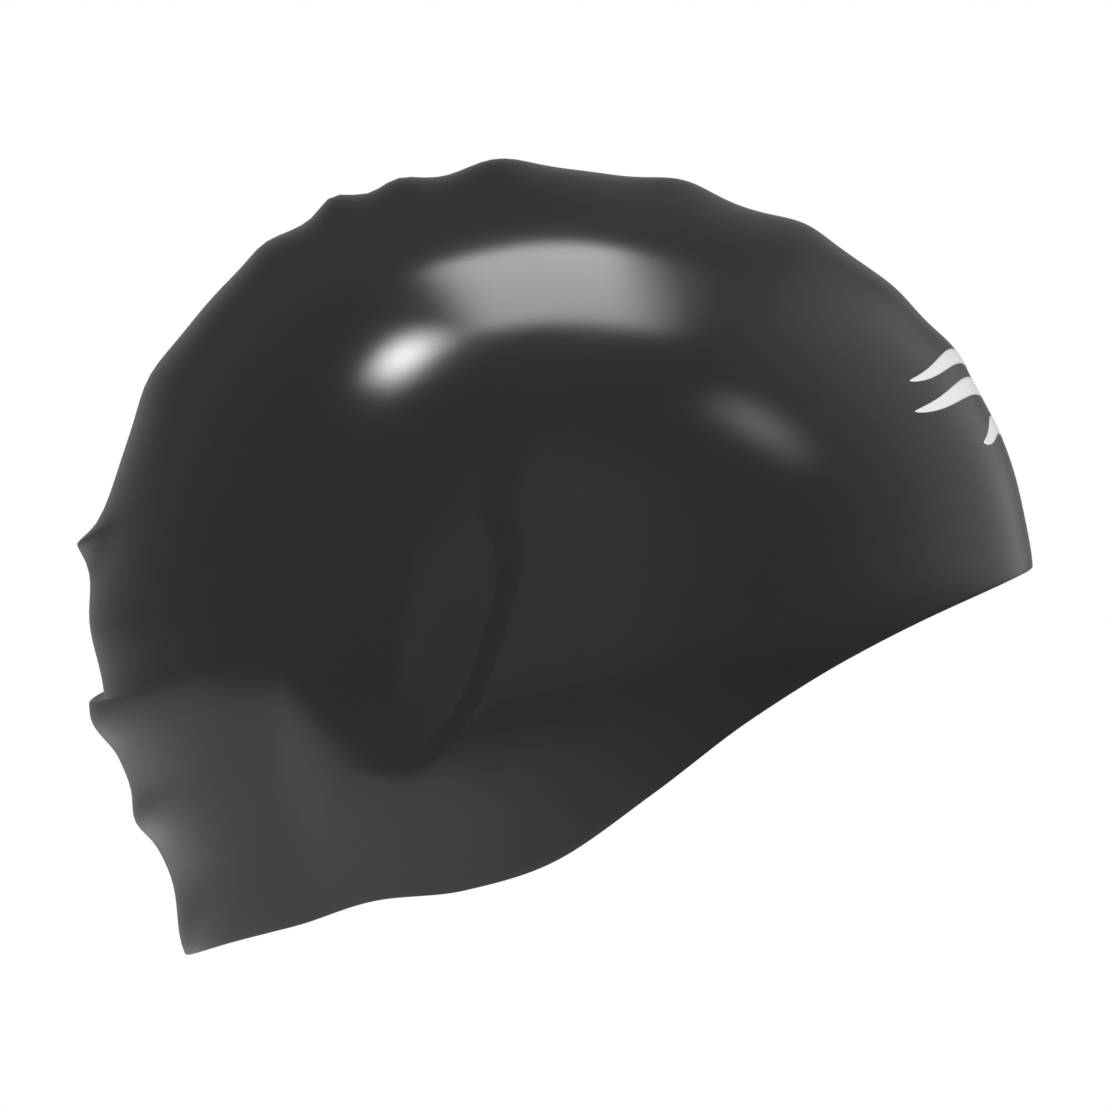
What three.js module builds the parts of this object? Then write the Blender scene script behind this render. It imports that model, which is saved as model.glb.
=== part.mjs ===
// A swim cap as worn: one moulded sheet of silicone, open below. Millimetres, +X forehead, +Z up.
// Directions start at the middle of the form: "down" is the angle from straight up, "round" the
// angle from the forehead, "tilt" the side-view angle from straight up, positive to the back.
import * as THREE from "three";

const LENGTH = 196; // front to back of the plain form
const WIDTH = 158; // side to side of the plain form
const CROWN = 82.5; // middle of the form to the top
const WALL = 1.2; // thickness of the sheet
const WAVE = 3; // height of the deepest crown wave
const FOLD = 4.6; // height of the pinched fold at the back
const EAR = 5; // how far the ears push the sides out
const INNER_SHARE = 0.25; // how much of each fold the inner face follows
const INNER_REACH = 0.6; // how far below each fold it does so, as a share of the lower flank
const TURN_IN = 0.36; // share of each millimetre that the lower sides run inwards
const TURN_SOFT = 0.05; // how gently they start to, as a share of CROWN
const DRAW = 0.57; // how quickly the lower half rounds in, against the upper half
const SQUARE = 2.15; // roundness of the cross-sections, 2 is an ellipse
const NARROW = 0.1; // how much narrower the forehead is than the back
const COLUMNS = 78;

// Broad rises and falls of the outline, height as a share of the radius.
const OUTLINE_SPAN = 17;
const OUTLINE = [
  { tilt: -80, share: -0.002 },
  { tilt: -60, share: -0.0124 },
  { tilt: -40, share: 0.002 },
  { tilt: -20, share: -0.0277 },
  { tilt: 0, share: 0.0025 },
  { tilt: 20, share: -0.003 },
  { tilt: 40, share: 0.016 },
  { tilt: 60, share: -0.009 },
  { tilt: 80, share: -0.03 },
  { tilt: 100, share: 0.01 },
  { tilt: 120, share: -0.018 },
  { tilt: 140, share: -0.0525 },
];

// Waves over the crown and nape, height in WAVE, span and fade (to each side) in degrees.
const WAVES = [
  { tilt: -92, height: 0.5, span: 6, fade: 26 },
  { tilt: -62, height: 0.38, span: 4, fade: 14 },
  { tilt: -51, height: 0.17, span: 4, fade: 14 },
  { tilt: -36, height: 0.43, span: 4.5, fade: 14 },
  { tilt: -18, height: 0.8, span: 6, fade: 14 },
  { tilt: 9, height: 0.86, span: 6, fade: 14 },
  { tilt: 23, height: 0.79, span: 4, fade: 14 },
  { tilt: 32, height: 1, span: 3.2, fade: 14 },
  { tilt: 43, height: 0.4, span: 3.5, fade: 14 },
  { tilt: 66, height: 0.45, span: 5, fade: 16 },
  { tilt: 97, height: 0.57, span: 5, fade: 20 },
  { tilt: 121.5, height: 0.71, span: 2.5, fade: 20 },
  { tilt: 130, height: -0.13, span: 4, fade: 20 },
  { tilt: 136.6, height: 1.75, span: 5, fade: 24 },
];

// Folds across the back: the pinched ridge, the lip below it and the lip's long soft crest.
// down: angle at the mid-plane. climb: degrees per degree towards the side. out: height in FOLD.
// above, below: flank lengths in FOLD, with their exponents. reach: half spread in degrees.
// lag: how far below the line, in FOLD, the inner face starts.
const FOLDS = [
  { down: 87.9, climb: -0.3, out: 1.15, above: 0.93, aboveExp: 1, below: 1.16, belowExp: 1.3, reach: 11, lag: 0 },
  { down: 107.5, climb: -0.1, out: 0.74, above: 0.09, aboveExp: 2, below: 1.8, belowExp: 3.6, reach: 12, lag: 0.8 },
  { down: 110.4, climb: -0.2, out: 0.24, above: 1.2, aboveExp: 2, below: 2.2, belowExp: 2, reach: 40, lag: 0 },
];

// Swellings of both sides, seen from the side. x in half LENGTHs, z, long and wide in CROWNs,
// lean: angle of the long axis from +X, push in EAR.
const SWELLINGS = [
  { name: "ear", x: -0.38, z: -0.19, long: 0.38, wide: 0.25, lean: 80, push: 1 },
];

// The crease in front of the ear: x in half LENGTHs, z and the front flank's width in CROWNs,
// depth in EAR.
const CREASE = [
  { z: -0.5, x: -0.345, depth: 0, wide: 0.03 },
  { z: -0.44, x: -0.3, depth: 0.14, wide: 0.03 },
  { z: -0.38, x: -0.256, depth: 0.28, wide: 0.03 },
  { z: -0.3, x: -0.21, depth: 0.36, wide: 0.03 },
  { z: -0.2, x: -0.18, depth: 0.4, wide: 0.03 },
  { z: -0.11, x: -0.157, depth: 0.4, wide: 0.031 },
  { z: -0.02, x: -0.138, depth: 0.36, wide: 0.034 },
  { z: 0.09, x: -0.145, depth: 0.32, wide: 0.05 },
  { z: 0.2, x: -0.178, depth: 0.28, wide: 0.06 },
  { z: 0.36, x: -0.14, depth: 0.16, wide: 0.07 },
  { z: 0.5, x: -0.09, depth: 0.06, wide: 0.08 },
  { z: 0.66, x: -0.05, depth: 0, wide: 0.08 },
];
const CREASE_BACK = 6; // how many times wider its rear flank is

// Height at which the sides start to turn in, x in half LENGTHs, heights in CROWNs:
// plain without the ear, lobe with the ear over it.
const TURN_LINE = [
  { x: -1.1, plain: -0.43, lobe: -0.43 },
  { x: -0.857, plain: -0.362, lobe: -0.362 },
  { x: -0.686, plain: -0.285, lobe: -0.285 },
  { x: -0.6, plain: -0.262, lobe: -0.275 },
  { x: -0.557, plain: -0.255, lobe: -0.33 },
  { x: -0.489, plain: -0.25, lobe: -0.42 },
  { x: -0.42, plain: -0.255, lobe: -0.452 },
  { x: -0.343, plain: -0.262, lobe: -0.47 },
  { x: -0.27, plain: -0.27, lobe: -0.44 },
  { x: -0.2, plain: -0.277, lobe: -0.395 },
  { x: -0.086, plain: -0.275, lobe: -0.32 },
  { x: 0.086, plain: -0.255, lobe: -0.258 },
  { x: 0.4, plain: -0.21, lobe: -0.21 },
  { x: 0.7, plain: -0.13, lobe: -0.13 },
  { x: 1.1, plain: -0.01, lobe: -0.01 },
];
const LOBE_FADE = 0.5; // how far below its edge the ear stops to show, as a share of CROWN

// The rim: how far down each direction the sheet ends.
const RIM = [
  { round: 0, down: 90.6 },
  { round: 15, down: 91.5 },
  { round: 30, down: 95.1 },
  { round: 45, down: 101.4 },
  { round: 60, down: 110.2 },
  { round: 75, down: 120.4 },
  { round: 90, down: 128.35 },
  { round: 105, down: 131.15 },
  { round: 120, down: 131.5 },
  { round: 135, down: 133.75 },
  { round: 150, down: 134.9 },
  { round: 180, down: 136.3 },
];

// Where the columns of the mesh crowd together: across the back and at the crease.
const CLOSER = [
  { off: 0, more: 0.7, span: 35 },
  { off: 77, more: 2, span: 11 },
];

// Rows of the mesh: which line (0 top, 1 ridge, 2 lip, 3 rim), how far past it in FOLD,
// and how many steps to the next row of the table.
const ROWS = [
  { line: 0, past: 0, steps: 13 },
  { line: 1, past: -1, steps: 3 },
  { line: 1, past: 0, steps: 3 },
  { line: 1, past: 1, steps: 3 },
  { line: 2, past: -1.2, steps: 2 },
  { line: 2, past: -0.2, steps: 1 },
  { line: 2, past: 0, steps: 6 },
  { line: 2, past: 2.6, steps: 6 },
  { line: 3, past: 0, steps: 0 },
];

const { degToRad, radToDeg, clamp, lerp, smoothstep } = THREE.MathUtils;
const HALF = LENGTH / 2;
const bell = (t) => Math.exp(-t * t);
const offBack = (round) => 180 - Math.abs(((((round % 360) + 540) % 360) - 180));

// A smooth curve through the rows of a table, level at both ends.
function through(rows, key, value, at) {
  const last = rows.length - 1;
  const i = clamp(rows.findIndex((row) => row[key] > at) - 1, 0, at >= rows[last][key] ? 0 : last - 1);
  const k = at >= rows[last][key] ? last - 1 : i;
  const slope = (n) =>
    n === 0 || n === last
      ? 0
      : (rows[n + 1][value] - rows[n - 1][value]) / (rows[n + 1][key] - rows[n - 1][key]);
  const gap = rows[k + 1][key] - rows[k][key];
  const t = clamp((at - rows[k][key]) / gap, 0, 1);
  return (
    lerp(rows[k][value], rows[k + 1][value], t * t * (3 - 2 * t)) +
    gap * t * (1 - t) * ((1 - t) * slope(k) - t * slope(k + 1))
  );
}

const rimAt = (round) => through(RIM, "round", "down", 180 - offBack(round));
const foldAt = (fold, round) => fold.down + fold.climb * (Math.hypot(offBack(round), 4) - 4);

// Height of a fold at a distance past its line, as a share: 1 on the line, with a rounded tip.
function flank(fold, past, soft) {
  const tip = (soft ? 0.9 : 0.05) * FOLD;
  const t = Math.hypot(past, tip) - tip;
  const lower = fold.below * (soft ? INNER_REACH : 1);
  const [reach, power] = past < 0 ? [fold.above, fold.aboveExp] : [lower, fold.belowExp];
  return Math.exp(-((t / (reach * FOLD)) ** power));
}

// A point of the outer face, or of the softer form that the inner face follows.
function form(down, round, soft) {
  const [a, p] = [degToRad(down), degToRad(round)];
  const d = new THREE.Vector3(Math.sin(a) * Math.cos(p), Math.sin(a) * Math.sin(p), Math.cos(a));
  const tilt = radToDeg(Math.atan2(-d.x, d.z));
  const side = radToDeg(Math.asin(clamp(d.y, -1, 1)));
  const up = d.z * (DRAW + (1 - DRAW) * 0.5 * (1 + Math.tanh(d.z / 0.25)));
  const flat = (d.x / HALF) ** 2 + (up / CROWN) ** 2;
  const across = Math.abs(d.y / ((WIDTH / 2) * (1 - NARROW * d.x)));
  let r = (flat ** (SQUARE / 2) + across ** SQUARE) ** (-1 / SQUARE);
  const share = OUTLINE.reduce((sum, row) => sum + row.share * bell((tilt - row.tilt) / OUTLINE_SPAN), 0);
  r *= 1 + share * Math.cos(degToRad(side)) ** 4;
  for (const wave of WAVES)
    r += WAVE * wave.height * bell((tilt - wave.tilt) / wave.span) * bell(side / wave.fade);
  const point = d.clone().multiplyScalar(r);

  const [plain, lobe] = ["plain", "lobe"].map((key) => {
    const below = through(TURN_LINE, "x", key, point.x / HALF) * CROWN - point.z;
    return TURN_SOFT * CROWN * Math.log1p(Math.exp(below / (TURN_SOFT * CROWN)));
  });
  const turned = lerp(lobe, plain, smoothstep(lobe, 0, LOBE_FADE * CROWN));
  point.y *= 1 - (TURN_IN / (WIDTH / 2)) * turned;
  for (const swelling of SWELLINGS) {
    const [x, z] = [point.x - swelling.x * HALF, point.z - swelling.z * CROWN];
    const [c, s] = [Math.cos(degToRad(swelling.lean)), Math.sin(degToRad(swelling.lean))];
    const [u, v] = [(x * c + z * s) / (swelling.long * CROWN), (z * c - x * s) / (swelling.wide * CROWN)];
    point.y += clamp(d.y / 0.3, -1, 1) * EAR * swelling.push * bell(u) * bell(v);
  }
  const [path, depth, wide] = ["x", "depth", "wide"].map((key) => through(CREASE, "z", key, point.z / CROWN));
  const past = point.x - path * HALF;
  const dent = EAR * depth * bell(past / (wide * CROWN * (past < 0 ? CREASE_BACK : 1)));
  point.y -= clamp(d.y / 0.3, -1, 1) * dent;

  let out = 0;
  for (const fold of FOLDS) {
    const below = r * degToRad(down - foldAt(fold, round)) - (soft ? fold.lag * FOLD : 0);
    const height = FOLD * fold.out * (soft ? INNER_SHARE : 1) * bell(offBack(round) / fold.reach);
    out += height * flank(fold, below, soft);
  }
  const level = Math.hypot(point.x, point.y) || 1;
  point.x *= 1 + out / level;
  point.y *= 1 + out / level;
  return point;
}

// A point of the inner face: the softer form, moved in by the wall.
function inside(down, round) {
  const step = 0.5;
  const [d, top] = [Math.max(down, step), down < step];
  const along = form(top ? step : d + step, top ? 0 : round, true).sub(
    form(top ? step : d - step, top ? 180 : round, true),
  );
  const beside = form(d, top ? 90 : round + step, true).sub(form(d, top ? 270 : round - step, true));
  return form(down, round, true).addScaledVector(along.cross(beside).normalize(), -WALL);
}

// Angle down of every row at one direction: along the fold lines at the back, even in front.
function rowAngles(round) {
  const rim = rimAt(round);
  const lines = [0, foldAt(FOLDS[0], round), foldAt(FOLDS[1], round), rim];
  const backness = 1 - smoothstep(offBack(round), 50, 110);
  const stops = ROWS.map((row) => lines[row.line] + radToDeg((row.past * FOLD) / HALF));
  const angles = ROWS.flatMap((row, k) =>
    Array.from({ length: row.steps }, (_, i) => lerp(stops[k], stops[k + 1], i / row.steps)),
  ).concat(rim);
  return angles.map((angle, i) => lerp((rim * i) / (angles.length - 1), angle, backness));
}

// Directions of the columns, in even steps of a count that grows faster where they crowd.
function directions() {
  const crowd = (round) =>
    CLOSER.reduce((sum, row) => sum + row.more * bell((offBack(round) - row.off) / row.span), 1);
  const counts = [0];
  for (let i = 0; i < 720; i++) counts.push(counts[i] + crowd((i + 0.5) / 2));
  return Array.from({ length: COLUMNS }, (_, j) => {
    const count = (counts[720] * j) / COLUMNS;
    const i = Math.max(counts.findIndex((value) => value > count) - 1, 0);
    return (i + (count - counts[i]) / (counts[i + 1] - counts[i])) / 2;
  });
}

// The closed sheet: outer rows from the top down, a rounded rim, inner rows back up.
function shell() {
  const columns = directions().map((round) => {
    const angles = rowAngles(round).slice(1);
    const outer = angles.map((down) => form(down, round, false));
    const inner = angles.map((down) => inside(down, round)).reverse();
    const edge = outer[outer.length - 1].clone().sub(outer[outer.length - 2]).setLength(WALL / 3);
    edge.add(outer[outer.length - 1].clone().lerp(inner[0], 0.5));
    return [...outer, edge, ...inner];
  });
  const rows = columns[0].length;
  const points = [form(0, 0, false), ...columns.flat(), inside(0, 0)];
  const at = (i, j) => 1 + (j % COLUMNS) * rows + i;
  const faces = [];
  for (let j = 0; j < COLUMNS; j++) {
    faces.push(0, at(0, j), at(0, j + 1));
    for (let i = 0; i < rows - 1; i++)
      faces.push(at(i, j), at(i + 1, j), at(i + 1, j + 1), at(i, j), at(i + 1, j + 1), at(i, j + 1));
    faces.push(points.length - 1, at(rows - 1, j + 1), at(rows - 1, j));
  }
  const geometry = new THREE.BufferGeometry().setFromPoints(points).setIndex(faces);
  geometry.translate(0, 0, -inside(0, 0).z);
  geometry.computeVertexNormals();
  return geometry;
}

const silicone = new THREE.MeshStandardMaterial({ color: 0x1c1c1d, roughness: 0.32, metalness: 0 });
const cap = new THREE.Mesh(shell(), silicone);
cap.name = "cap_shell";

const group = new THREE.Group();
group.add(cap);
export default group;
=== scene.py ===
"""A silicone swim cap in its worn form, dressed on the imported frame.

It builds the shell, the front print, their finishes and the studio.
"""

import functools
import logging
import math
from collections.abc import Callable
from dataclasses import dataclass
from enum import Enum
from typing import NamedTuple

import bpy
import numpy as np
from mathutils import Matrix, Vector


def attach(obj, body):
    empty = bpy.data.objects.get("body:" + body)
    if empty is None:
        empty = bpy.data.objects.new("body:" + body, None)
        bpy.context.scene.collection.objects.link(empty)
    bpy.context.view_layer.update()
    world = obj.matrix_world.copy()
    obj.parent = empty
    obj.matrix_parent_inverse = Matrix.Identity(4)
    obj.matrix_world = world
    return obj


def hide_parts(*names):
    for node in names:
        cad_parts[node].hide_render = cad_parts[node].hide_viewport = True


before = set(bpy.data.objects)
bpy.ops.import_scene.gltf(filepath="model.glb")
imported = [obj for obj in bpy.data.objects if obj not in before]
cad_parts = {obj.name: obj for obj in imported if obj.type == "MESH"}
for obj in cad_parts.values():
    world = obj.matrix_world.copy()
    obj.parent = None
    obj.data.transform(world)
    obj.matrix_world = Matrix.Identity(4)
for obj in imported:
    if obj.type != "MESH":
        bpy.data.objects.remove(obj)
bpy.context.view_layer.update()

LOG = logging.getLogger("swim_cap")
MM = 0.001
PHOTO_PIXELS = 1111
MM_PER_PIXEL = 0.21


class Face(Enum):
    """Which face of the sheet a surface function follows."""

    OUTER = "outer"
    INNER = "inner"


class Line(Enum):
    """The lines round the cap that rows of the mesh run along."""

    TOP = "top"
    RIDGE = "ridge"
    LIP = "lip"
    RIM = "rim"


class Swell(NamedTuple):
    """A broad rise of the outline: side-view angle, and height as a share of the radius."""

    tilt: float
    share: float


class Wave(NamedTuple):
    """A shallow wave: side-view angle, height in waves, span and sideways fade in degrees."""

    tilt: float
    height: float
    span: float
    fade: float


class Fold(NamedTuple):
    """A fold across the back, with lengths in fold heights and angles in degrees.

    "down" is its place, "climb" the change of that for each degree to the side and "out" its
    height. Its flanks above and below have a length and a power each. "reach" is its span
    round the back and "lag" how much lower the inner face's copy lies.
    """

    down: float
    climb: float
    out: float
    above: float
    above_power: float
    below: float
    below_power: float
    reach: float
    lag: float


class Swelling(NamedTuple):
    """A swelling of both sides seen from the side: place, spans, lean in degrees and push."""

    x: float
    z: float
    long: float
    wide: float
    lean: float
    push: float


class Crease(NamedTuple):
    """A step of the crease in front of the ear: height, place, depth and half width as shares."""

    z: float
    x: float
    depth: float
    wide: float


class Turn(NamedTuple):
    """Where the sides start to turn in: place, height without the ear and with it."""

    x: float
    plain: float
    lobe: float


class Crowd(NamedTuple):
    """Where columns of the mesh crowd together: degrees off the back, extra density and span."""

    off: float
    more: float
    span: float


class Row(NamedTuple):
    """A row of the mesh: its line, how far past it in fold heights, and steps to the next."""

    line: Line
    past: float
    steps: int


class Stroke(NamedTuple):
    """A printed line, in degrees: place of its middle, thickest part and half its length."""

    down: float
    weight: float
    spread: float


class Lamp(NamedTuple):
    """A soft light, with its long side first in size and fade.

    "way" is its place from the middle of the cap and "along" the direction of its long side.
    Sizes are in metres and the power in watts. The fade is the share of each half side over
    which it gets dark towards the edge.
    """

    name: str
    way: tuple[float, float, float]
    along: tuple[float, float, float]
    size: tuple[float, float]
    fade: tuple[float, float]
    power: float


def bell(t: np.ndarray) -> np.ndarray:
    """The smooth bump exp(-t squared)."""
    return np.exp(-t * t)


def smooth_step(t: np.ndarray) -> np.ndarray:
    """Zero up to 0, one from 1, and 3 t squared - 2 t cubed between."""
    t = np.clip(t, 0, 1)
    return t * t * (3 - 2 * t)


def level_curve(table: list[tuple[float, float]], at: np.ndarray) -> np.ndarray:
    """A smooth curve through the points of a table, level at both ends.

    Between two points it is the cubic whose slope at each is that of the chord across it.

    Args:
        table: pairs of place and value, in rising order of place.
        at: the places to read.

    Returns:
        The values there.
    """
    xs, ys = np.array(table, float).T
    slopes = np.zeros_like(ys)
    slopes[1:-1] = (ys[2:] - ys[:-2]) / (xs[2:] - xs[:-2])
    k = np.clip(np.searchsorted(xs, at, side="right") - 1, 0, len(xs) - 2)
    gap = xs[k + 1] - xs[k]
    t = np.clip((at - xs[k]) / gap, 0, 1)
    ease = t * t * (3 - 2 * t)
    return (
        ys[k] * (1 - ease)
        + ys[k + 1] * ease
        + gap * t * (1 - t) * ((1 - t) * slopes[k] - t * slopes[k + 1])
    )


def off_back(round_: np.ndarray) -> np.ndarray:
    """Degrees from the middle of the back, for a direction given from the forehead."""
    return 180 - np.abs((round_ + 180) % 360 - 180)


@dataclass(frozen=True)
class CapForm:
    """The worn shape of the sheet as a function of two angles, in millimetres.

    "down" is the angle from straight up and "round" the angle from the forehead, both seen
    from the middle of the form. The sizes and tables are those of the part's source.
    """

    # Main sizes, and the heights in which the waves, the folds and the ear's bulge are given.
    length: float = 196.0
    width: float = 158.0
    crown: float = 82.5
    wall: float = 1.2
    wave: float = 3.0
    fold: float = 4.6
    ear: float = 5.0
    # Rounding of a fold's tip outside and inside, what the inner face follows of a fold's height
    # and lower flank, and the rounding of its line at the middle of the back.
    tip: float = 0.05
    inner_tip: float = 0.9
    inner_share: float = 0.25
    inner_reach: float = 0.6
    fold_round: float = 4.0
    # How far the sides turn in for each millimetre of depth, and how softly they start to.
    turn_in: float = 0.36
    turn_soft: float = 0.05
    # How much a height counts below the middle, and the spans over which this and the sides begin.
    draw: float = 0.57
    draw_blend: float = 0.25
    side_blend: float = 0.3
    # Power of the cross-section, how much narrower the forehead is, and span of a broad rise.
    square: float = 2.15
    narrow: float = 0.1
    outline_span: float = 17.0
    outline: tuple[Swell, ...] = (
        Swell(-80, -0.002),
        Swell(-60, -0.0124),
        Swell(-40, 0.002),
        Swell(-20, -0.0277),
        Swell(0, 0.0025),
        Swell(20, -0.003),
        Swell(40, 0.016),
        Swell(60, -0.009),
        Swell(80, -0.03),
        Swell(100, 0.01),
        Swell(120, -0.018),
        Swell(140, -0.0525),
    )
    waves: tuple[Wave, ...] = (
        Wave(-92, 0.5, 6, 26),
        Wave(-62, 0.38, 4, 14),
        Wave(-51, 0.17, 4, 14),
        Wave(-36, 0.43, 4.5, 14),
        Wave(-18, 0.8, 6, 14),
        Wave(9, 0.86, 6, 14),
        Wave(23, 0.79, 4, 14),
        Wave(32, 1, 3.2, 14),
        Wave(43, 0.4, 3.5, 14),
        Wave(66, 0.45, 5, 16),
        Wave(97, 0.57, 5, 20),
        Wave(121.5, 0.71, 2.5, 20),
        Wave(130, -0.13, 4, 20),
        Wave(136.6, 1.75, 5, 24),
    )
    folds: tuple[Fold, ...] = (
        Fold(87.9, -0.3, 1.15, 0.93, 1, 1.16, 1.3, 11, 0),
        Fold(107.5, -0.1, 0.74, 0.09, 2, 1.8, 3.6, 12, 0.8),
        Fold(110.4, -0.2, 0.24, 1.2, 2, 2.2, 2, 40, 0),
    )
    swellings: tuple[Swelling, ...] = (
        Swelling(-0.38, -0.19, 0.38, 0.25, 80, 1),
    )
    # How much wider the crease is behind its line than before it.
    crease_back: float = 6
    crease: tuple[Crease, ...] = (
        Crease(-0.5, -0.345, 0, 0.03),
        Crease(-0.44, -0.3, 0.14, 0.03),
        Crease(-0.38, -0.256, 0.28, 0.03),
        Crease(-0.3, -0.21, 0.36, 0.03),
        Crease(-0.2, -0.18, 0.4, 0.03),
        Crease(-0.11, -0.157, 0.4, 0.031),
        Crease(-0.02, -0.138, 0.36, 0.034),
        Crease(0.09, -0.145, 0.32, 0.05),
        Crease(0.2, -0.178, 0.28, 0.06),
        Crease(0.36, -0.14, 0.16, 0.07),
        Crease(0.5, -0.09, 0.06, 0.08),
        Crease(0.66, -0.05, 0, 0.08),
    )
    turn_line: tuple[Turn, ...] = (
        Turn(-1.1, -0.43, -0.43),
        Turn(-0.857, -0.362, -0.362),
        Turn(-0.686, -0.285, -0.285),
        Turn(-0.6, -0.262, -0.275),
        Turn(-0.557, -0.255, -0.33),
        Turn(-0.489, -0.25, -0.42),
        Turn(-0.42, -0.255, -0.452),
        Turn(-0.343, -0.262, -0.47),
        Turn(-0.27, -0.27, -0.44),
        Turn(-0.2, -0.277, -0.395),
        Turn(-0.086, -0.275, -0.32),
        Turn(0.086, -0.255, -0.258),
        Turn(0.4, -0.21, -0.21),
        Turn(0.7, -0.13, -0.13),
        Turn(1.1, -0.01, -0.01),
    )
    # Depth below the lobe at which the plain turn line holds, as a share of the crown.
    lobe_fade: float = 0.5
    # Angle down of the rim at each angle from the forehead.
    rim: tuple[tuple[float, float], ...] = (
        (0, 90.6),
        (15, 91.5),
        (30, 95.1),
        (45, 101.4),
        (60, 110.2),
        (75, 120.4),
        (90, 128.35),
        (105, 131.15),
        (120, 131.5),
        (135, 133.75),
        (150, 134.9),
        (180, 136.3),
    )
    # Where columns crowd, from where off the back the rows become even, and over how much.
    closer: tuple[Crowd, ...] = (Crowd(0, 0.7, 35), Crowd(77, 2, 11))
    even_from: float = 50.0
    even_over: float = 60.0
    rows: tuple[Row, ...] = (
        Row(Line.TOP, 0, 13),
        Row(Line.RIDGE, -1, 3),
        Row(Line.RIDGE, 0, 3),
        Row(Line.RIDGE, 1, 3),
        Row(Line.LIP, -1.2, 2),
        Row(Line.LIP, -0.2, 1),
        Row(Line.LIP, 0, 6),
        Row(Line.LIP, 2.6, 6),
        Row(Line.RIM, 0, 0),
    )

    def rim_at(self, round_: np.ndarray) -> np.ndarray:
        """The angle down at which the sheet ends in each direction round."""
        return level_curve(list(self.rim), 180 - off_back(round_))

    def fold_at(self, fold: Fold, round_: np.ndarray) -> np.ndarray:
        """The angle down of a fold's line: it climbs to both sides from a rounded low point."""
        return fold.down + fold.climb * (np.hypot(off_back(round_), self.fold_round) - self.fold_round)

    def _plain(self, d: np.ndarray, tilt: np.ndarray, side: np.ndarray) -> np.ndarray:
        """Radius of the plain form with its outline and waves.

        A superellipsoid whose lower half is drawn down and whose forehead is narrower, times
        one plus the broad swells (fading with the fourth power of the cosine to the side), plus
        the waves, each a bump in tilt times a bump to the side.

        Args:
            d: directions, with x, y and z first.
            tilt: side-view angle of each, in degrees.
            side: angle off the mid-plane of each, in degrees.

        Returns:
            The radius of each, in millimetres.
        """
        up = d[2] * (self.draw + (1 - self.draw) * 0.5 * (1 + np.tanh(d[2] / self.draw_blend)))
        flat = (d[0] / (self.length / 2)) ** 2 + (up / self.crown) ** 2
        across = np.abs(d[1] / ((self.width / 2) * (1 - self.narrow * d[0])))
        radius = (flat ** (self.square / 2) + across**self.square) ** (-1 / self.square)
        share = sum(s.share * bell((tilt - s.tilt) / self.outline_span) for s in self.outline)
        radius = radius * (1 + share * np.cos(np.radians(side)) ** 4)
        for wave in self.waves:
            lift = self.wave * wave.height * bell((tilt - wave.tilt) / wave.span)
            radius = radius + lift * bell(side / wave.fade)
        return radius

    def _side(self, x: np.ndarray, y: np.ndarray, z: np.ndarray, hand: np.ndarray) -> np.ndarray:
        """The distance off the mid-plane, with the sides turned in, swollen and creased.

        Below the turn line the sides lose a share that grows evenly with the depth, from a soft
        start: softness times log(1 + exp(depth / softness)). The line is the lobe's where the depth
        below it is small, and the plain one farther down. Each swelling is a bump that
        leans, and the crease is a bump in x along its path, wider behind it than before it.

        Args:
            x: distance to the forehead of each point, in millimetres.
            y: distance off the mid-plane before these changes, in millimetres.
            z: height over the middle of the form, in millimetres.
            hand: -1 on the right side and 1 on the left, with a smooth change between.

        Returns:
            The new distance of each point, in millimetres.
        """
        softness = self.turn_soft * self.crown
        turns = np.array(self.turn_line)
        heights = (level_curve(list(zip(turns[:, 0], turns[:, k])), x / (self.length / 2)) for k in (1, 2))
        gaps = ((height * self.crown - z) / softness for height in heights)
        plain, lobe = (softness * np.logaddexp(0, gap) for gap in gaps)
        depth_in = lobe + (plain - lobe) * smooth_step(lobe / (self.lobe_fade * self.crown))
        y = y * (1 - self.turn_in / (self.width / 2) * depth_in)
        for s in self.swellings:
            u, v = x - s.x * self.length / 2, z - s.z * self.crown
            c, q = math.cos(math.radians(s.lean)), math.sin(math.radians(s.lean))
            long = bell((u * c + v * q) / (s.long * self.crown))
            y = y + hand * self.ear * s.push * long * bell((v * c - u * q) / (s.wide * self.crown))
        steps = np.array(self.crease)
        curves = (level_curve(list(zip(steps[:, 0], steps[:, k])), z / self.crown) for k in (1, 2, 3))
        path, depth, wide = curves
        past = x - path * self.length / 2
        dent = depth * bell(past / (wide * self.crown * np.where(past < 0, self.crease_back, 1)))
        return y - hand * self.ear * dent

    def _fold_out(self, down: np.ndarray, round_: np.ndarray, radius: np.ndarray, face: Face) -> np.ndarray:
        """How far the folds push a point outwards.

        Each is exp(-(distance past its line / flank) to a power), with a rounded tip, times a
        bump in the angle off the back. The inner face follows a lower, blunter copy.

        Args:
            down: angle down of each point, in degrees.
            round_: angle round of each point, in degrees.
            radius: radius of each point, in millimetres.
            face: the face of the sheet.

        Returns:
            The push of each point, in millimetres.
        """
        soft = face is Face.INNER
        tip = (self.inner_tip if soft else self.tip) * self.fold
        total = np.zeros(np.broadcast(down, round_).shape)
        for fold in self.folds:
            past = radius * np.radians(down - self.fold_at(fold, round_))
            past = past - (fold.lag * self.fold if soft else 0)
            away = np.hypot(past, tip) - tip
            above = np.exp(-((away / (fold.above * self.fold)) ** fold.above_power))
            lower = fold.below * self.fold * (self.inner_reach if soft else 1)
            below = np.exp(-((away / lower) ** fold.below_power))
            height = self.fold * fold.out * (self.inner_share if soft else 1)
            total = total + height * bell(off_back(round_) / fold.reach) * np.where(past < 0, above, below)
        return total

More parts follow.
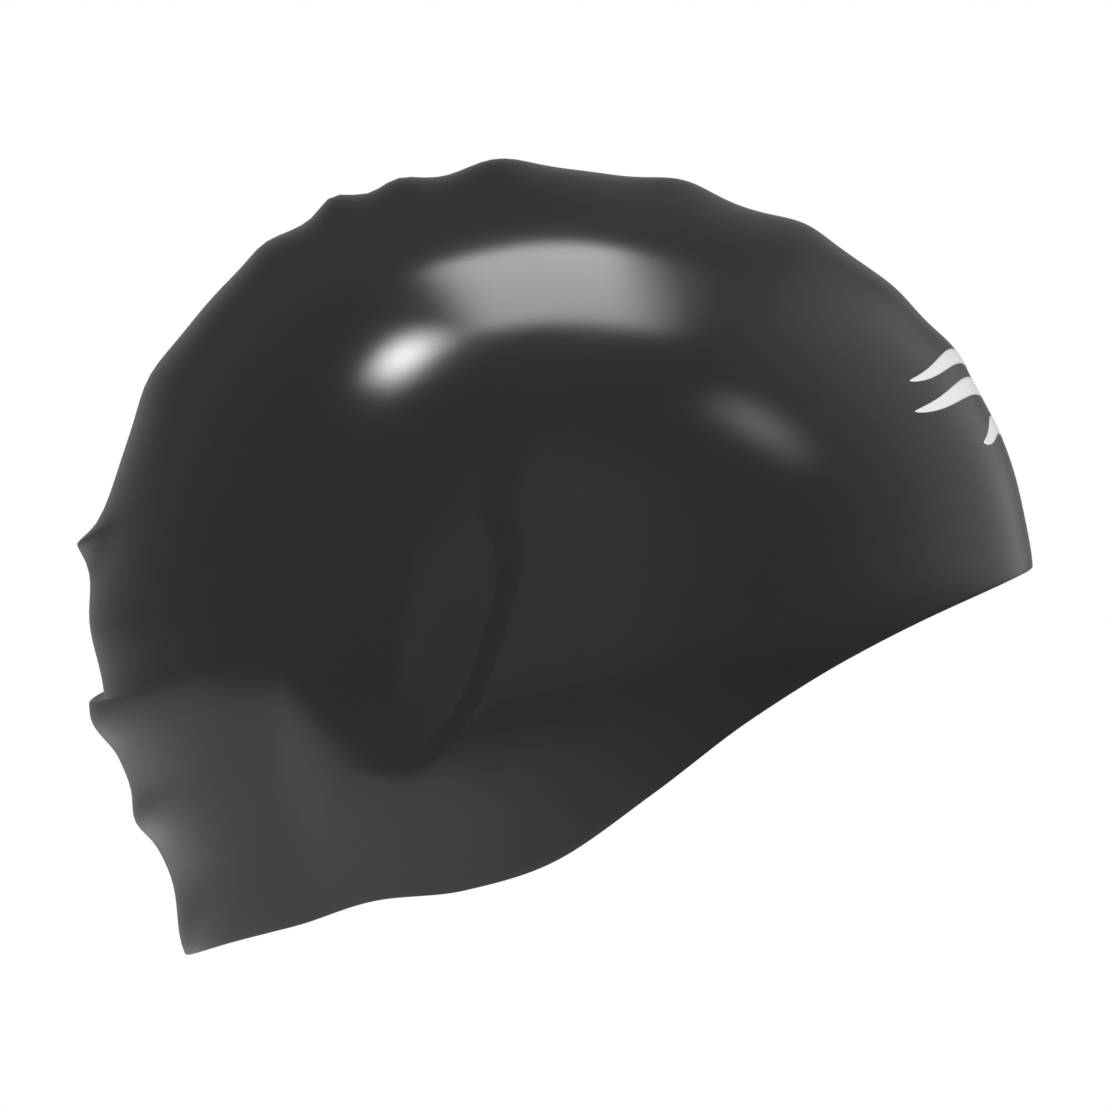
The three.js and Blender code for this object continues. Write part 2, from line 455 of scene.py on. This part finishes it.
    def follow(self, down: np.ndarray, round_: np.ndarray, face: Face) -> np.ndarray:
        """Points of the outer face, or of the softer form that the inner face follows.

        Args:
            down: angles from straight up, in degrees.
            round_: angles from the forehead, in degrees.
            face: the face of the sheet.

        Returns:
            An array of points in millimetres, with x, y and z last.
        """
        down, round_ = np.broadcast_arrays(np.asarray(down, float), np.asarray(round_, float))
        a, p = np.radians(down), np.radians(round_)
        d = np.array([np.sin(a) * np.cos(p), np.sin(a) * np.sin(p), np.cos(a)])
        tilt = np.degrees(np.arctan2(-d[0], d[2]))
        side = np.degrees(np.arcsin(np.clip(d[1], -1, 1)))
        radius = self._plain(d, tilt, side)
        x, y, z = radius * d
        y = self._side(x, y, z, np.clip(d[1] / self.side_blend, -1, 1))
        grow = 1 + self._fold_out(down, round_, radius, face) / np.maximum(np.hypot(x, y), 1e-6)
        return np.stack([x * grow, y * grow, z], axis=-1)

    def normal(self, down: np.ndarray, round_: np.ndarray, face: Face) -> np.ndarray:
        """Unit vectors that point out of the form: the cross product of its two small steps.

        Args:
            down: angles from straight up, in degrees.
            round_: angles from the forehead, in degrees.
            face: the face of the sheet.

        Returns:
            An array of vectors, with x, y and z last.
        """
        step = 0.5
        down, round_ = np.broadcast_arrays(np.asarray(down, float), np.asarray(round_, float))
        top = down < step
        near = np.where(top, 0.0, round_)
        d = np.maximum(down, step)
        ahead = self.follow(np.where(top, step, d + step), near, face)
        behind = self.follow(np.where(top, step, d - step), np.where(top, 180.0, round_), face)
        left = self.follow(d, np.where(top, 90.0, round_ + step), face)
        right = self.follow(d, np.where(top, 270.0, round_ - step), face)
        out = np.cross(ahead - behind, left - right)
        return out / np.linalg.norm(out, axis=-1, keepdims=True)

    def inside(self, down: np.ndarray, round_: np.ndarray) -> np.ndarray:
        """Points of the inner face: the softer form, moved in by the wall."""
        return self.follow(down, round_, Face.INNER) - self.wall * self.normal(down, round_, Face.INNER)

    def row_angles(self, round_: np.ndarray, fineness: int) -> np.ndarray:
        """Angle down of every row in every direction.

        Rows run along the fold lines at the back and in even steps in front.

        Args:
            round_: the directions, in degrees.
            fineness: by how much the steps of the table are multiplied.

        Returns:
            An array with a row for each row of the mesh and a column for each direction.
        """
        rim = self.rim_at(round_)
        ridge, lip = (self.fold_at(fold, round_) for fold in self.folds[:2])
        lines = {Line.TOP: 0 * rim, Line.RIDGE: ridge, Line.LIP: lip, Line.RIM: rim}
        stops = [lines[r.line] + math.degrees(r.past * self.fold / (self.length / 2)) for r in self.rows]
        runs = [
            start + (end - start) * np.arange(r.steps * fineness)[:, None] / (r.steps * fineness)
            for r, start, end in zip(self.rows, stops, stops[1:])
        ]
        angles = np.concatenate([*runs, rim[None]])
        even = rim * np.linspace(0, 1, len(angles))[:, None]
        backness = 1 - smooth_step((off_back(round_) - self.even_from) / self.even_over)
        return even + (angles - even) * backness

    def directions(self, count: int) -> np.ndarray:
        """Directions of the columns, in even steps of a running total that grows where they crowd.

        Args:
            count: how many columns there are.

        Returns:
            Their angles from the forehead, in degrees.
        """
        parts = 720
        edges = np.linspace(0, 360, parts + 1)
        middles = (edges[1:] + edges[:-1]) / 2
        density = 1 + sum(c.more * bell((off_back(middles) - c.off) / c.span) for c in self.closer)
        total = np.concatenate([[0], np.cumsum(density)])
        return np.interp(total[-1] * np.arange(count) / count, total, edges)

    def seat_height(self) -> float:
        """Height of the crown's inner face over the middle of the form, in millimetres."""
        return float(self.inside(np.array(0.0), np.array(0.0))[2])


def mesh_object(
    name: str, points: np.ndarray, faces: list[np.ndarray], material: bpy.types.Material
) -> bpy.types.Object:
    """A smooth-shaded mesh at the origin, its place in its vertices.

    Args:
        name: the object's name.
        points: vertices in metres.
        faces: arrays of faces, one array for each number of corners.
        material: the finish of all its faces.

    Returns:
        The new object, linked to the scene.
    """
    mesh = bpy.data.meshes.new(name)
    mesh.from_pydata(points.tolist(), [], [face for block in faces for face in block.tolist()])
    mesh.polygons.foreach_set("use_smooth", np.ones(len(mesh.polygons), bool))
    mesh.materials.append(material)
    mesh.update()
    made = bpy.data.objects.new(name, mesh)
    bpy.context.scene.collection.objects.link(made)
    return made


def paint(obj: bpy.types.Object, name: str, values: np.ndarray) -> None:
    """Stores one number for each vertex under a name that materials read."""
    obj.data.attributes.new(name, "FLOAT", "POINT").data.foreach_set("value", values.astype(np.float32))


class NodeSheet:
    """Adds nodes to a material, world or group and joins them by socket name."""

    def __init__(self, tree: bpy.types.NodeTree) -> None:
        """Keeps the tree that the nodes go into."""
        self.tree = tree

    def add(self, kind: str, **values: object) -> bpy.types.Node:
        """A new node with its properties set.

        Args:
            kind: Blender's name for the node type.
            **values: properties of the node by name.

        Returns:
            The node.
        """
        node = self.tree.nodes.new(kind)
        for key, value in values.items():
            setattr(node, key, value)
        return node

    def put(self, socket: bpy.types.NodeSocket, value: object) -> None:
        """Joins a socket to another one, or sets it to a constant.

        Args:
            socket: the input to feed.
            value: an output socket, or the constant.
        """
        if isinstance(value, bpy.types.NodeSocket):
            self.tree.links.new(value, socket)
        else:
            socket.default_value = value

    def math(self, operation: str, a: object, b: object = 0.0) -> bpy.types.NodeSocket:
        """A Math node on two values.

        Args:
            operation: Blender's name for what it does.
            a: the first value, a socket or a constant.
            b: the second one.

        Returns:
            The socket of its result.
        """
        node = self.add("ShaderNodeMath", operation=operation)
        self.put(node.inputs[0], a)
        self.put(node.inputs[1], b)
        return node.outputs[0]

    def total(self, *values: object) -> bpy.types.NodeSocket:
        """The sum of several values."""
        return functools.reduce(functools.partial(self.math, "ADD"), values)

    def product(self, *values: object) -> bpy.types.NodeSocket:
        """The product of several values."""
        return functools.reduce(functools.partial(self.math, "MULTIPLY"), values)

    def choose(self, factor: object, a: object, b: object) -> bpy.types.NodeSocket:
        """The mix of two numbers.

        Args:
            factor: 0 for the first number and 1 for the second.
            a: the first number, a socket or a constant.
            b: the second one.

        Returns:
            The socket of the mix.
        """
        node = self.add("ShaderNodeMix", data_type="FLOAT")
        for socket, value in zip(node.inputs[0:1] + node.inputs[2:4], (factor, a, b)):
            self.put(socket, value)
        return node.outputs[0]

    def ease(self, value: object, start: float, end: float, low: float, high: float) -> bpy.types.NodeSocket:
        """A smooth step: 3 t squared - 2 t cubed between two values, level outside them.

        Args:
            value: the number that drives it.
            start: where it starts.
            end: where it ends.
            low: the result up to the start.
            high: the result from the end on.

        Returns:
            The socket of the result.
        """
        node = self.add("ShaderNodeMapRange", interpolation_type="SMOOTHSTEP")
        for socket, given in zip(node.inputs[:5], (value, start, end, low, high)):
            self.put(socket, given)
        return node.outputs["Result"]

    def blend(self, factor: object, a: object, b: object) -> bpy.types.NodeSocket:
        """The mix of two colours.

        Args:
            factor: 0 for the first colour and 1 for the second.
            a: the first colour, a socket or a constant.
            b: the second one.

        Returns:
            The socket of the mix.
        """
        node = self.add("ShaderNodeMix", data_type="RGBA")
        for socket, value in zip((node.inputs["Factor"], node.inputs[6], node.inputs[7]), (factor, a, b)):
            self.put(socket, value)
        return node.outputs[2]

    def noise(
        self, vector: object, scale: object, detail: float, roughness: float = 0.5
    ) -> bpy.types.NodeSocket:
        """A noise texture.

        Args:
            vector: the place that it reads.
            scale: how many cells there are to a metre.
            detail: how many finer layers are added.
            roughness: how strong the finer layers are.

        Returns:
            The socket of its value.
        """
        node = self.add("ShaderNodeTexNoise")
        values = {"Vector": vector, "Scale": scale, "Detail": detail, "Roughness": roughness}
        for key, value in values.items():
            self.put(node.inputs[key], value)
        return node.outputs["Fac"]


class EffectGroups:
    """The shader effects that both finishes use, each built once as a node group."""

    def __init__(self) -> None:
        """Builds the groups."""
        self.grain = self._group(
            "moulded_grain",
            {"Coordinates": "Vector", "Cells": "Float"},
            ("Height",),
            self._grain,
        )
        self.handling = self._group(
            "handling_marks",
            {"Coordinates": "Vector", "Clean": "Float", "Marked": "Float"},
            ("Roughness", "Mask"),
            self._handling,
        )

    @staticmethod
    def _group(
        name: str, inputs: dict[str, str], outputs: tuple[str, ...], build: Callable
    ) -> bpy.types.NodeTree:
        """A node group with named sockets, filled by a build function.

        Args:
            name: the group's name.
            inputs: type of each input socket by name.
            outputs: names of the float outputs.
            build: function of the sheet and the input node that returns a socket for each output.

        Returns:
            The group.
        """
        tree = bpy.data.node_groups.new(name, "ShaderNodeTree")
        for key, kind in inputs.items():
            tree.interface.new_socket(key, in_out="INPUT", socket_type=f"NodeSocket{kind}")
        for key in outputs:
            tree.interface.new_socket(key, in_out="OUTPUT", socket_type="NodeSocketFloat")
        sheet = NodeSheet(tree)
        source, sink = sheet.add("NodeGroupInput"), sheet.add("NodeGroupOutput")
        for key, socket in zip(outputs, build(sheet, source)):
            sheet.put(sink.inputs[key], socket)
        return tree

    @staticmethod
    def _grain(sheet: NodeSheet, source: bpy.types.Node) -> tuple[bpy.types.NodeSocket, ...]:
        """The fine grain left by the mould: 0.6 times the distance in small cells, plus a soft noise.

        Args:
            sheet: the group's nodes.
            source: its input node.

        Returns:
            The socket of the height.
        """
        cells = sheet.add("ShaderNodeTexVoronoi", feature="SMOOTH_F1")
        sheet.put(cells.inputs["Vector"], source.outputs["Coordinates"])
        sheet.put(cells.inputs["Scale"], source.outputs["Cells"])
        soft = sheet.noise(source.outputs["Coordinates"], source.outputs["Cells"], 3.0)
        return (sheet.math("ADD", sheet.math("MULTIPLY", cells.outputs["Distance"], 0.6), soft),)

    @staticmethod
    def _handling(sheet: NodeSheet, source: bpy.types.Node) -> tuple[bpy.types.NodeSocket, ...]:
        """Roughness between clean and marked, in broad soft patches and fine streaks.

        Args:
            sheet: the group's nodes.
            source: its input node.

        Returns:
            The sockets of the roughness and of the mask of the marked places.
        """
        patches = sheet.noise(source.outputs["Coordinates"], 26.0, 4.0, 0.6)
        streaks = sheet.noise(source.outputs["Coordinates"], 140.0, 3.0, 0.55)
        mixed = sheet.math("ADD", sheet.math("MULTIPLY", patches, 0.7), sheet.math("MULTIPLY", streaks, 0.3))
        mask = sheet.ease(mixed, 0.38, 0.66, 0.0, 1.0)
        span = sheet.math("SUBTRACT", source.outputs["Marked"], source.outputs["Clean"])
        return sheet.math("ADD", source.outputs["Clean"], sheet.math("MULTIPLY", span, mask)), mask


@dataclass(frozen=True)
class Finish:
    """A finish of silicone or ink: colours, gloss and the depth of its grain."""

    name: str
    colour: tuple[float, float, float, float]
    marked_colour: tuple[float, float, float, float]
    inner_colour: tuple[float, float, float, float]
    clean_roughness: float
    marked_roughness: float
    inner_roughness: float
    ior: float
    grain_cells: float
    grain_depth: float

    def build(self, effects: EffectGroups) -> bpy.types.Material:
        """The material: colour, roughness and bump from the shared effects.

        Args:
            effects: the shared node groups.

        Returns:
            The material.
        """
        material = bpy.data.materials.new(self.name)
        material.use_nodes = True
        sheet = NodeSheet(material.node_tree)
        shader = material.node_tree.nodes["Principled BSDF"]
        place = sheet.add("ShaderNodeTexCoord").outputs["Object"]
        inner = sheet.add("ShaderNodeAttribute", attribute_name="inner_face").outputs["Fac"]

        marks = sheet.add("ShaderNodeGroup", node_tree=effects.handling)
        sheet.put(marks.inputs["Coordinates"], place)
        sheet.put(marks.inputs["Clean"], self.clean_roughness)
        sheet.put(marks.inputs["Marked"], self.marked_roughness)
        worn = sheet.blend(marks.outputs["Mask"], self.colour, self.marked_colour)
        sheet.put(shader.inputs["Base Color"], sheet.blend(inner, worn, self.inner_colour))
        matt = sheet.math("MULTIPLY", inner, self.inner_roughness - self.clean_roughness)
        sheet.put(shader.inputs["Roughness"], sheet.math("ADD", marks.outputs["Roughness"], matt))

        grain = sheet.add("ShaderNodeGroup", node_tree=effects.grain)
        sheet.put(grain.inputs["Coordinates"], place)
        sheet.put(grain.inputs["Cells"], self.grain_cells)
        bump = sheet.add("ShaderNodeBump")
        sheet.put(bump.inputs["Strength"], 1.0)
        sheet.put(bump.inputs["Distance"], self.grain_depth)
        sheet.put(bump.inputs["Height"], grain.outputs["Height"])
        sheet.put(shader.inputs["Normal"], bump.outputs["Normal"])
        shader.inputs["IOR"].default_value = self.ior
        return material


SILICONE = Finish(
    name="black_silicone",
    colour=(0.0168, 0.0168, 0.0171, 1),
    marked_colour=(0.0178, 0.0178, 0.0181, 1),
    inner_colour=(0.021, 0.021, 0.0214, 1),
    clean_roughness=0.165,
    marked_roughness=0.18,
    inner_roughness=0.55,
    ior=1.43,
    grain_cells=1600.0,
    grain_depth=0.000004,
)
INK = Finish(
    name="silver_print",
    colour=(0.76, 0.76, 0.77, 1),
    marked_colour=(0.72, 0.72, 0.73, 1),
    inner_colour=(0.6, 0.6, 0.62, 1),
    clean_roughness=0.34,
    marked_roughness=0.42,
    inner_roughness=0.5,
    ior=1.46,
    grain_cells=2200.0,
    grain_depth=0.00001,
)


@dataclass
class Shell:
    """The cap itself: one closed sheet with a rounded rim."""

    form: CapForm
    columns: int = 340
    outer_fineness: int = 4
    inner_fineness: int = 1
    # How far the rim's rounding reaches past the sheet, in walls, and its rows in degrees.
    edge_reach: float = 0.42
    edge_turns: tuple[float, ...] = (25, 57, 90, 123, 155)

    def _grid(self) -> tuple[np.ndarray, np.ndarray]:
        """The sheet's points and which face each lies on.

        Rows run from under the top, down the outer face, round the rim on a half circle
        (middle + cos(turn) half wall + sin(turn) rim direction) and up the inner face.

        Returns:
            Points as rows by columns by three in millimetres, and 1 for each inner row.
        """
        round_ = self.form.directions(self.columns)
        down = self.form.row_angles(round_, self.outer_fineness)[1:]
        inner_down = self.form.row_angles(round_, self.inner_fineness)[:0:-1]
        outer = self.form.follow(down, round_[None], Face.OUTER)
        inner = self.form.inside(inner_down, round_[None])
        along = outer[-1] - outer[-2]
        along = along / np.linalg.norm(along, axis=-1, keepdims=True) * self.form.wall * self.edge_reach
        middle, half = (outer[-1] + inner[0]) / 2, (outer[-1] - inner[0]) / 2
        turns = np.radians(self.edge_turns)[:, None, None]
        edge = middle + np.cos(turns) * half + np.sin(turns) * along
        inner_rows = np.concatenate([np.zeros(len(outer) + len(edge)), np.ones(len(inner))])
        return np.concatenate([outer, edge, inner]), inner_rows

    def build(self, material: bpy.types.Material) -> bpy.types.Object:
        """The shell as a mesh that stands for the CAD node.

        Args:
            material: the silicone.

        Returns:
            The object.
        """
        grid, inner_rows = self._grid()
        rows, columns = grid.shape[:2]
        pole = np.array(0.0)
        ends = np.stack([self.form.follow(pole, pole, Face.OUTER), self.form.inside(pole, pole)])
        points = np.concatenate([grid.reshape(-1, 3), ends])
        points[:, 2] -= self.form.seat_height()
        index = np.arange(rows * columns).reshape(rows, columns)
        beside = np.roll(index, -1, axis=1)
        quads = np.stack([index[:-1], index[1:], beside[1:], beside[:-1]], axis=-1).reshape(-1, 4)
        top, under = np.full(columns, rows * columns), np.full(columns, rows * columns + 1)
        corners = (top, index[0], beside[0]), (under, beside[-1], index[-1])
        fans = np.concatenate([np.stack(fan, axis=-1) for fan in corners])
        made = mesh_object("cap_sheet", points * MM, [quads, fans], material)
        paint(made, "inner_face", np.append(np.repeat(inner_rows, columns), [0, 1]))
        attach(made, "root")
        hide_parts("cap_shell")
        return made


@dataclass
class WavePrint:
    """Tapering wave lines printed over the middle of the front edge."""

    form: CapForm
    lines: tuple[Stroke, ...] = (Stroke(63.4, 2.3, 27.0), Stroke(67.7, 2.6, 29.0), Stroke(73.4, 2.6, 15.0))
    # Swing in degrees, waves to half a line, power of the taper, and how near the ends it stops.
    swing: float = 0.9
    waves: float = 1.5
    taper: float = 0.6
    end: float = 0.999
    # Height of the ink in millimetres, and points along and across a line.
    thickness: float = 0.07
    samples: int = 160
    across: int = 6

    def _line(self, line: Stroke) -> np.ndarray:
        """One line's points: outer side, then the side that lies on the sheet.

        Args:
            line: its place, thickness and length.

        Returns:
            Points as samples by loop by three, in millimetres. Along the line, s runs from -1
            to 1: round = spread s, down = middle + swing sin(waves pi s) + stroke/2 t, where
            the stroke is weight (1 - s squared) to the taper and t runs from -1 to 1.
        """
        s = np.linspace(-self.end, self.end, self.samples)[:, None]
        t = np.linspace(-1, 1, self.across)[None]
        stroke = line.weight * (1 - s * s) ** self.taper
        angle_down = line.down + self.swing * np.sin(self.waves * np.pi * s) + 0.5 * stroke * t
        angle_round = line.spread * s + 0 * t
        skin = self.form.follow(angle_down, angle_round, Face.OUTER)
        out = self.form.normal(angle_down, angle_round, Face.OUTER)
        return np.concatenate([skin + self.thickness * out, (skin - self.thickness * out)[:, ::-1]], axis=1)

    def build(self, material: bpy.types.Material) -> bpy.types.Object:
        """The print as one object that rides with the cap.

        Args:
            material: the ink.

        Returns:
            The object.
        """
        points, faces, first = [], [], 0
        for line in self.lines:
            loops = self._line(line)
            count, around = loops.shape[:2]
            index = first + np.arange(count * around).reshape(count, around)
            beside = np.roll(index, -1, axis=1)
            faces.append(np.stack([index[:-1], beside[:-1], beside[1:], index[1:]], axis=-1).reshape(-1, 4))
            faces.append(np.stack([index[0, ::-1], index[-1]]))
            points.append(loops.reshape(-1, 3))
            first += count * around
        placed = np.concatenate(points)
        placed[:, 2] -= self.form.seat_height()
        made = mesh_object("front_print", placed * MM, faces, material)
        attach(made, "root")
        return made


@dataclass
class Studio:
    """Pale floor, soft light and the camera at the photograph's angle."""

    middle: Vector
    floor_drop: float = 0.30
    floor_half: float = 12.0
    elevation: float = 3.0
    distance: float = 3.0
    sensor: float = 36.0
    aim: tuple[float, float, float] = (-0.00095, 0, 0.00095)
    room_light: float = 0.235
    matt_light: float = 1.12
    lamps: tuple[Lamp, ...] = (
        Lamp("overhead", (0.079, -0.087, 1.310), (-0.190, 0.982, -0.020), (0.99, 0.88), (0.33, 0.42), 24.0),
        Lamp("strip", (-0.459, -0.538, 1.096), (0.669, 0.508, 0.543), (0.57, 0.45), (1.0, 1.0), 28.5),
        Lamp("side", (0.86, -0.69, 0.69), (0.34, 0.09, -0.34), (0.66, 0.34), (1.0, 1.0), 2.6),
    )

    def floor(self) -> None:
        """A plain white floor, far enough below that no shadow falls into the main view."""
        half, z = self.floor_half, self.middle.z - self.floor_drop
        corners = np.array([(-half, -half, z), (half, -half, z), (half, half, z), (-half, half, z)])
        material = bpy.data.materials.new("pale_floor")
        material.use_nodes = True
        shader = material.node_tree.nodes["Principled BSDF"]
        shader.inputs["Base Color"].default_value = (0.9, 0.9, 0.9, 1)
        shader.inputs["Roughness"].default_value = 1.0
        shader.inputs["Specular IOR Level"].default_value = 0.0
        made = mesh_object("floor", corners, [np.array([[0, 1, 2, 3]])], material)
        made.visible_glossy = False

    def world(self) -> None:
        """White around the camera, an even soft light on all matt colour, and a room for the gloss.

        The room is dim all round. A glow from below starts steeply below in front of the cap
        and just under the horizon behind it, and is weaker towards the forehead. A wall beside
        the forehead and a narrow screen in front, a little to its side, add two more. The
        room is darker high up behind the cap, and low down beside the forehead.
        """
        world = bpy.data.worlds.new("studio")
        world.use_nodes = True
        bpy.context.scene.world = world
        sheet = NodeSheet(world.node_tree)
        world.node_tree.nodes.clear()
        way = sheet.add("ShaderNodeSeparateXYZ")
        sheet.put(way.inputs[0], sheet.add("ShaderNodeTexCoord").outputs["Generated"])
        x, y, z = way.outputs
        depth = sheet.math("SUBTRACT", sheet.ease(y, -0.6, 0.1, 0.0, 0.52), z)
        below = sheet.product(sheet.ease(depth, 0.59, 1.06, 0.0, 0.7), sheet.ease(x, 0.2, 0.6, 1.0, 0.15))
        wall = sheet.product(
            sheet.ease(x, 0.3, 0.7, 0.0, 0.6),
            sheet.ease(y, -0.7, 0.25, 0.0, 1.0),
            sheet.ease(z, -0.32, 0.02, 0.0, 1.0),
        )
        screen = sheet.product(
            sheet.ease(x, -0.08, 0.14, 0.0, 0.2),
            sheet.ease(x, 0.4, 0.65, 1.0, 0.0),
            sheet.ease(y, -0.75, -0.92, 0.0, 1.0),
        )
        dark = sheet.product(
            sheet.ease(y, 0.3, 0.85, 0.0, 0.13),
            sheet.ease(z, 0.0, 0.4, 0.0, 1.0),
            sheet.ease(x, -0.1, 0.25, 1.0, 0.2),
        )
        dusk = sheet.product(sheet.ease(x, 0.3, 0.7, 0.0, 0.12), sheet.ease(z, -0.15, -0.45, 0.0, 1.0))
        bright = sheet.total(self.room_light, below, wall, screen)
        room = sheet.math("SUBTRACT", bright, sheet.total(dark, dusk))
        path = sheet.add("ShaderNodeLightPath").outputs
        strength = sheet.choose(path["Is Glossy Ray"], self.matt_light, room)
        light = sheet.add("ShaderNodeBackground")
        sheet.put(light.inputs["Color"], (1, 1, 1, 1))
        sheet.put(light.inputs["Strength"], sheet.choose(path["Is Camera Ray"], strength, 1.0))
        sheet.put(sheet.add("ShaderNodeOutputWorld").inputs["Surface"], light.outputs[0])

    def softbox(self, lamp: Lamp) -> None:
        """An area light that faces the cap and shows only as its reflection in the gloss.

        Args:
            lamp: its place, size, fade and power.
        """
        data = bpy.data.lights.new(lamp.name, "AREA")
        data.shape = "RECTANGLE"
        data.size, data.size_y = lamp.size
        data.energy = lamp.power
        data.use_nodes = True
        sheet = NodeSheet(data.node_tree)
        place = sheet.add("ShaderNodeSeparateXYZ")
        sheet.put(place.inputs[0], sheet.add("ShaderNodeNewGeometry").outputs["Parametric"])
        offs = (sheet.math("ABSOLUTE", sheet.math("SUBTRACT", side, 0.5)) for side in place.outputs[:2])
        sides = (sheet.ease(off, 0.5 * (1 - fade), 0.5, 1.0, 0.0) for off, fade in zip(offs, lamp.fade))
        sheet.put(data.node_tree.nodes["Emission"].inputs["Strength"], sheet.product(*sides))
        made = bpy.data.objects.new(lamp.name, data)
        way = Vector(lamp.way)
        back = way.normalized()
        across = back.cross(Vector(lamp.along)).normalized()
        turn = Matrix((across.cross(back), across, back)).transposed()
        made.matrix_world = Matrix.Translation(self.middle + way) @ turn.to_4x4()
        made.visible_diffuse = False
        bpy.context.scene.collection.objects.link(made)

    def camera(self) -> None:
        """The camera: a long lens at the wearer's right side, with the photo's framing."""
        data = bpy.data.cameras.new("camera")
        width = PHOTO_PIXELS * MM_PER_PIXEL * MM
        data.sensor_width = self.sensor
        data.lens = self.sensor * self.distance / width
        made = bpy.data.objects.new("camera", data)
        lift = math.radians(self.elevation)
        back_off = self.distance * Vector((0, -math.cos(lift), math.sin(lift)))
        made.location = self.middle + Vector(self.aim) + back_off
        made.rotation_euler = (math.pi / 2 - lift, 0, 0)
        bpy.context.scene.collection.objects.link(made)
        bpy.context.scene.camera = made

    def build(self) -> None:
        """Sets up the whole studio."""
        bpy.context.scene.view_settings.view_transform = "Standard"
        self.floor()
        self.world()
        for lamp in self.lamps:
            self.softbox(lamp)
        self.camera()


def main() -> None:
    """Builds the cap, its print and the studio, and logs how many faces each piece has."""
    logging.basicConfig(level=logging.INFO, format="%(name)s: %(message)s")
    form = CapForm()
    effects = EffectGroups()
    for piece in (Shell(form).build(SILICONE.build(effects)), WavePrint(form).build(INK.build(effects))):
        LOG.info("%s: %d faces", piece.name, len(piece.data.polygons))
    Studio(middle=Vector((0, 0, -form.seat_height() * MM))).build()


if __name__ == "__main__":
    main()
